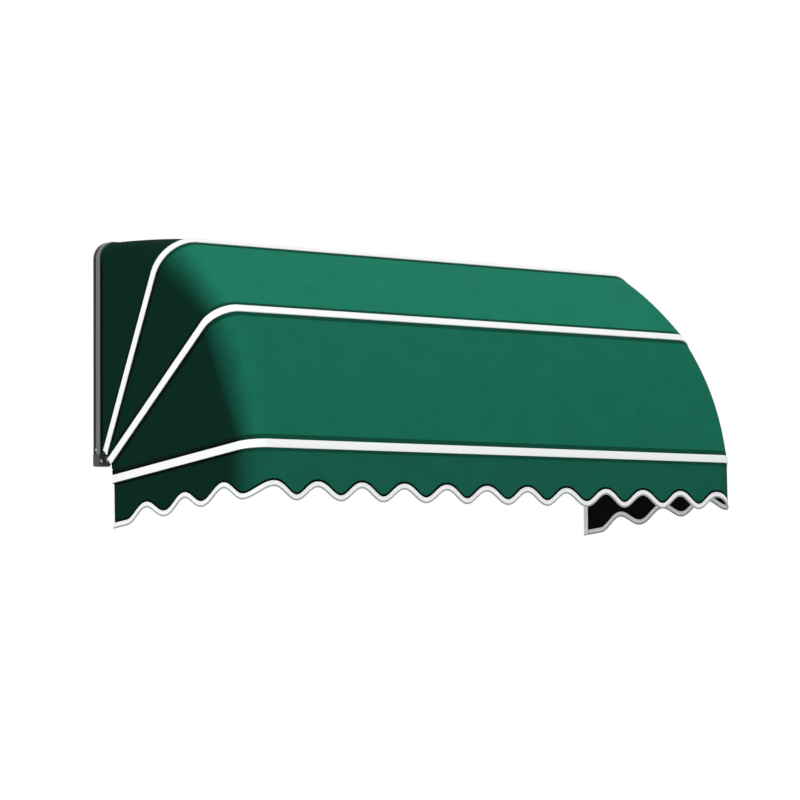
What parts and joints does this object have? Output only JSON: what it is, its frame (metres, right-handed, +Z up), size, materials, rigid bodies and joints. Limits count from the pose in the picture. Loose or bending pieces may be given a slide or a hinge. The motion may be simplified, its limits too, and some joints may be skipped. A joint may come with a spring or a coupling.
{
  "type": "retractable awning",
  "caption": "Folding basket awning with a wall frame, hinged U-shaped hoops, cloth panels and a scalloped valance with bound hem.",
  "frame": {"origin": "middle of the top rail's back face, which lies on the wall", "axes": "+X along the rail to the right as seen from the front, +Y into the wall, +Z up; the canopy stands out towards -Y"},
  "size_m": [2.0038, 0.924, 0.9428],
  "materials": {
    "anthracite_powder_coat": "satin powder coat over aluminium",
    "cast_aluminium": "powder coated casting",
    "white_powder_coat": "satin white powder coat over aluminium",
    "green_cloth": "woven acrylic awning cloth, dark coating inside",
    "white_tape": "woven binding tape",
    "zinc_plated_steel": "bright zinc plating",
    "stainless_steel": "stainless steel"
  },
  "bodies": {
    "frame": {"wall_frame": "anthracite_powder_coat", "hinge_casting_left": "cast_aluminium", "hinge_casting_left_wall_screw": "stainless_steel", "hinge_casting_left_rivet": "stainless_steel", "pivot_pin_left": "stainless_steel", "pivot_nut_left": "stainless_steel", "rail_bracket_left": "zinc_plated_steel", "rail_bracket_left_wall_screw": "stainless_steel", "rail_bracket_left_frame_screw": "stainless_steel", "side_bracket_left": "zinc_plated_steel", "side_bracket_left_wall_screw": "stainless_steel", "side_bracket_left_frame_screw": "stainless_steel", "rail_cord_eye_left": "anthracite_powder_coat", "hinge_casting_right": "cast_aluminium", "hinge_casting_right_wall_screw": "stainless_steel", "hinge_casting_right_rivet": "stainless_steel", "pivot_pin_right": "stainless_steel", "pivot_nut_right": "stainless_steel", "rail_bracket_right": "zinc_plated_steel", "rail_bracket_right_wall_screw": "stainless_steel", "rail_bracket_right_frame_screw": "stainless_steel", "side_bracket_right": "zinc_plated_steel", "side_bracket_right_wall_screw": "stainless_steel", "side_bracket_right_frame_screw": "stainless_steel", "rail_cord_eye_right": "anthracite_powder_coat", "upper_canopy_panel": "green_cloth"},
    "upper_hoop": {"upper_hoop": "white_powder_coat", "upper_hoop_leaf_left": "zinc_plated_steel", "upper_hoop_leaf_left_rivet_1": "zinc_plated_steel", "upper_hoop_leaf_left_rivet_2": "zinc_plated_steel", "upper_hoop_leaf_right": "zinc_plated_steel", "upper_hoop_leaf_right_rivet_1": "zinc_plated_steel", "upper_hoop_leaf_right_rivet_2": "zinc_plated_steel"},
    "middle_hoop": {"middle_hoop": "white_powder_coat", "middle_hoop_leaf_left": "zinc_plated_steel", "middle_hoop_leaf_left_rivet_1": "zinc_plated_steel", "middle_hoop_leaf_left_rivet_2": "zinc_plated_steel", "middle_hoop_leaf_right": "zinc_plated_steel", "middle_hoop_leaf_right_rivet_1": "zinc_plated_steel", "middle_hoop_leaf_right_rivet_2": "zinc_plated_steel"},
    "front_hoop": {"front_hoop": "white_powder_coat", "front_hoop_leaf_left": "zinc_plated_steel", "front_hoop_leaf_left_rivet_1": "zinc_plated_steel", "front_hoop_leaf_left_rivet_2": "zinc_plated_steel", "front_hoop_leaf_right": "zinc_plated_steel", "front_hoop_leaf_right_rivet_1": "zinc_plated_steel", "front_hoop_leaf_right_rivet_2": "zinc_plated_steel", "middle_canopy_panel": "green_cloth", "lower_canopy_panel": "green_cloth", "valance": "green_cloth", "valance_binding": "white_tape", "front_cord_eye_left": "white_powder_coat", "front_cord_eye_right": "white_powder_coat"}
  },
  "joints": [
    {"name": "front_hoop_pivot", "type": "hinge", "parent": "frame", "child": "front_hoop", "pos_m": [0, -0.07, -0.7075], "axis": [-1, 0, 0], "range_deg": [0, 82.5], "deforming": ["upper_canopy_panel", "middle_canopy_panel", "lower_canopy_panel"]},
    {"name": "middle_hoop_pivot", "type": "hinge", "parent": "frame", "child": "middle_hoop", "pos_m": [0, -0.07, -0.7075], "axis": [-1, 0, 0], "range_deg": [0, 52.5]},
    {"name": "upper_hoop_pivot", "type": "hinge", "parent": "frame", "child": "upper_hoop", "pos_m": [0, -0.07, -0.7075], "axis": [-1, 0, 0], "range_deg": [0, 26]}
  ],
  "couplings": [
    {"joint": "middle_hoop_pivot", "follows": "front_hoop_pivot", "ratio": 0.6364},
    {"joint": "upper_hoop_pivot", "follows": "front_hoop_pivot", "ratio": 0.3152}
  ]
}
